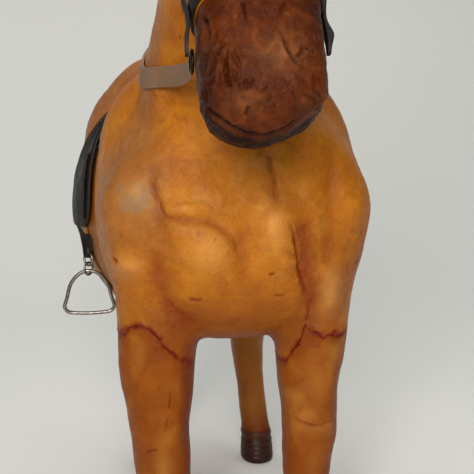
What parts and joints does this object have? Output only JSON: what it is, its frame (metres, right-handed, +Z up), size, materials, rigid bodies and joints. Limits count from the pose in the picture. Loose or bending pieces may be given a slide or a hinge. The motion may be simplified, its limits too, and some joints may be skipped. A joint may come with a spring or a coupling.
{
  "type": "leather-covered pony figure",
  "caption": "Standing pony figure in glued tan leather with dark muzzle and hooves, bridle, reins, saddle with lifting flaps and wire stirrups that swing on small rings.",
  "frame": {"origin": "on the ground, under the middle of the pony's overall box, 3.7 mm right of the back's middle plane", "axes": "+Z up, the pony faces -Y, its left side is +X"},
  "size_m": [0.1748, 0.356, 0.416],
  "materials": {
    "tan_leather": "waxed, creased, caramel tan",
    "dark_leather": "wrinkled, dark red-brown, glossy",
    "black_leather": "black, worn edges",
    "rein_leather": "matt taupe brown",
    "seat_leather": "dark brown, smooth",
    "felt": "dark felt",
    "hair": "dark brown combed fibre",
    "core_pulp": "plain core, hidden under the leather",
    "hoof": "dark brown, polished",
    "steel": "dull dark wire",
    "glass_eye": "dark glossy bead"
  },
  "bodies": {
    "horse": {"torso_core": "core_pulp", "neck_core": "core_pulp", "head_core": "core_pulp", "front_leg_core_left": "core_pulp", "front_leg_core_right": "core_pulp", "hind_leg_core_left": "core_pulp", "hind_leg_core_right": "core_pulp", "torso_hide": "tan_leather", "neck_hide": "tan_leather", "head_hide": "tan_leather", "muzzle_hide": "dark_leather", "front_leg_hide_left": "tan_leather", "front_leg_hide_right": "tan_leather", "hind_leg_hide_left": "tan_leather", "hind_leg_hide_right": "tan_leather", "front_hoof_left": "hoof", "front_hoof_right": "hoof", "hind_hoof_left": "hoof", "hind_hoof_right": "hoof", "ear_left": "tan_leather", "ear_right": "tan_leather", "eye_left": "glass_eye", "eye_right": "glass_eye", "mane": "hair", "forelock": "hair", "tail": "hair", "saddle_pad": "felt", "saddle_seat": "seat_leather", "girth_strap": "rein_leather", "noseband": "black_leather", "cheek_strap_left": "black_leather", "cheek_strap_right": "black_leather", "headpiece": "black_leather", "browband": "black_leather", "reins": "rein_leather"},
    "bit_ring_left": {"bit_ring_left": "steel"},
    "flap_left": {"saddle_flap_left": "black_leather"},
    "strap_left": {"stirrup_strap_left": "black_leather"},
    "strap_ring_left": {"strap_ring_left": "steel"},
    "link_ring_left": {"link_ring_left": "steel"},
    "stirrup_left": {"stirrup_left": "steel"},
    "bit_ring_right": {"bit_ring_right": "steel"},
    "flap_right": {"saddle_flap_right": "black_leather"},
    "strap_right": {"stirrup_strap_right": "black_leather"},
    "strap_ring_right": {"strap_ring_right": "steel"},
    "link_ring_right": {"link_ring_right": "steel"},
    "stirrup_right": {"stirrup_right": "steel"}
  },
  "joints": [
    {"name": "bit_ring_spin_left", "type": "hinge", "parent": "horse", "child": "bit_ring_left", "pos_m": [0.03389, -0.141, 0.2872], "axis": [1, 0, 0], "continuous": true},
    {"name": "flap_lift_left", "type": "hinge", "parent": "horse", "child": "flap_left", "pos_m": [0.0509, 0.033, 0.2655], "axis": [0, -1, 0], "range_deg": [0, 30]},
    {"name": "strap_swing_left", "type": "hinge", "parent": "flap_left", "child": "strap_left", "pos_m": [0.078, 0.01, 0.2352], "axis": [0, -1, 0], "range_deg": [0, 45]},
    {"name": "strap_ring_swing_left", "type": "hinge", "parent": "strap_left", "child": "strap_ring_left", "pos_m": [0.0782, 0.01, 0.176], "axis": [0, -1, 0], "range_deg": [0, 35]},
    {"name": "link_ring_swing_left", "type": "hinge", "parent": "strap_ring_left", "child": "link_ring_left", "pos_m": [0.0782, 0.01, 0.1705], "axis": [0.9962, 0.0872, 0], "range_deg": [-12, 12]},
    {"name": "stirrup_swing_left", "type": "hinge", "parent": "link_ring_left", "child": "stirrup_left", "pos_m": [0.0782, 0.01, 0.16555], "axis": [-0.1736, -0.9848, 0], "range_deg": [-2, 14]},
    {"name": "bit_ring_spin_right", "type": "hinge", "parent": "horse", "child": "bit_ring_right", "pos_m": [-0.02327, -0.141, 0.2872], "axis": [1, 0, 0], "continuous": true},
    {"name": "flap_lift_right", "type": "hinge", "parent": "horse", "child": "flap_right", "pos_m": [-0.0435, 0.033, 0.2655], "axis": [0, 1, 0], "range_deg": [0, 30]},
    {"name": "strap_swing_right", "type": "hinge", "parent": "flap_right", "child": "strap_right", "pos_m": [-0.0706, 0.01, 0.2352], "axis": [0, 1, 0], "range_deg": [0, 45]},
    {"name": "strap_ring_swing_right", "type": "hinge", "parent": "strap_right", "child": "strap_ring_right", "pos_m": [-0.0708, 0.01, 0.176], "axis": [-0.6428, 0.766, 0], "range_deg": [0, 35]},
    {"name": "link_ring_swing_right", "type": "hinge", "parent": "strap_ring_right", "child": "link_ring_right", "pos_m": [-0.0708, 0.01, 0.1705], "axis": [0.6428, 0.766, 0], "range_deg": [0, 20]},
    {"name": "stirrup_swing_right", "type": "hinge", "parent": "link_ring_right", "child": "stirrup_right", "pos_m": [-0.0708, 0.01, 0.16555], "axis": [1, 0, 0], "range_deg": [-20, 2]}
  ]
}
